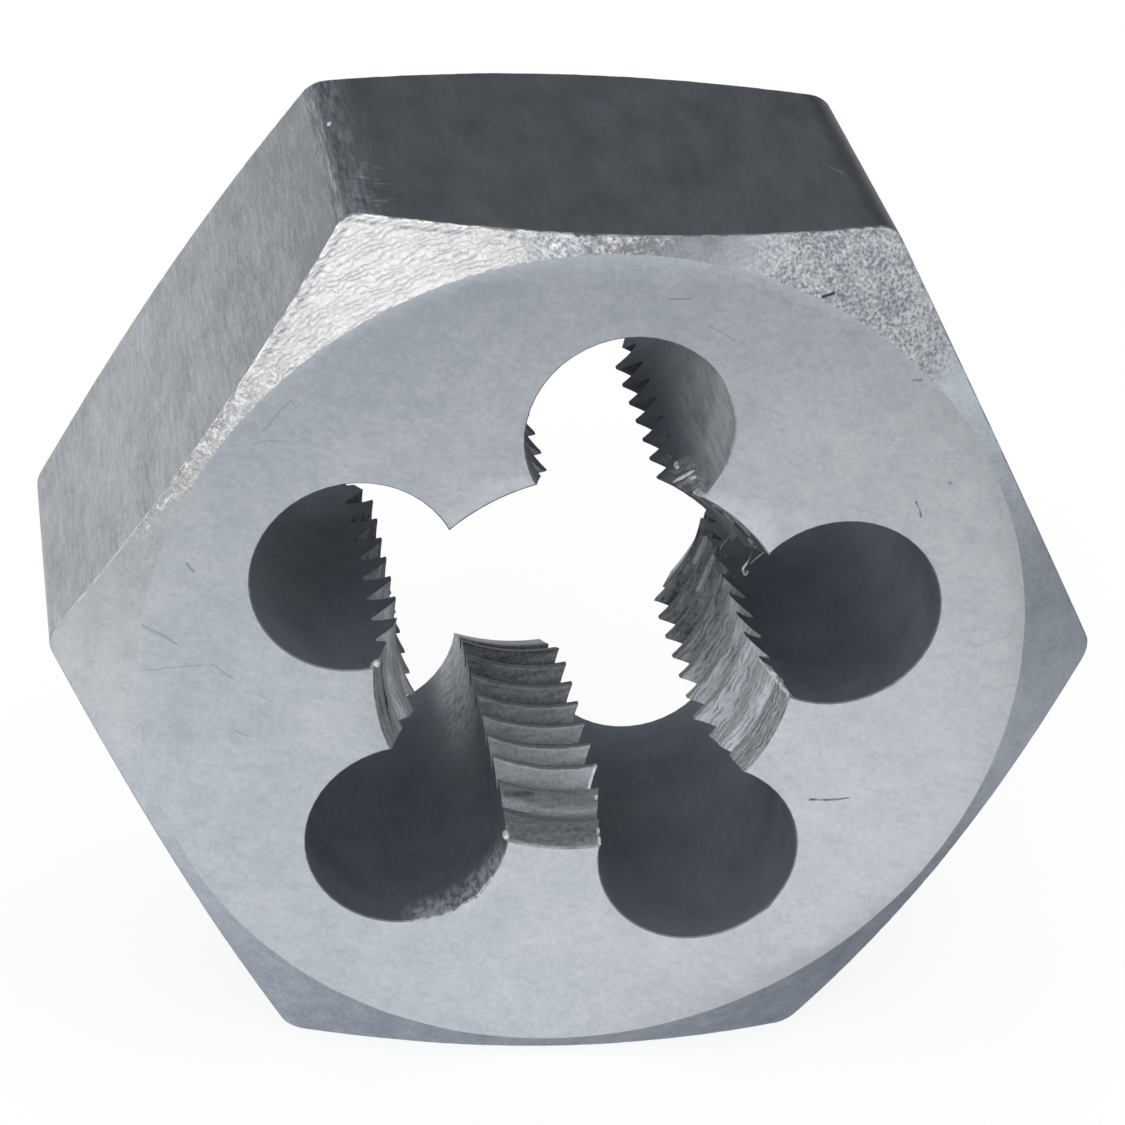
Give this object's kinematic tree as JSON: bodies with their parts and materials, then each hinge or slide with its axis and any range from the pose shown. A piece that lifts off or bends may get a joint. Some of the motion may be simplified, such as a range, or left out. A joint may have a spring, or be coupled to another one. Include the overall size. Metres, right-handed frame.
{
  "type": "hex rethreading die",
  "caption": "Hexagonal steel rethreading die with wrench flats, chamfered corners and a fine right-hand thread on lands between open chip holes.",
  "frame": {"origin": "on the thread axis at mid thickness, which is the centre of the bounding box", "axes": "the thread axis runs along Y with the front face towards -Y; +Z is normal to the upper wrench flat, so the die stands on the opposite one; +X points at a corner"},
  "size_m": [0.031, 0.0126, 0.027],
  "materials": {
    "tool_steel": "ground flats, turned faces and chamfers, drilled chip holes, cut thread"
  },
  "bodies": {
    "root": {"hex_die": "tool_steel"}
  },
  "joints": []
}
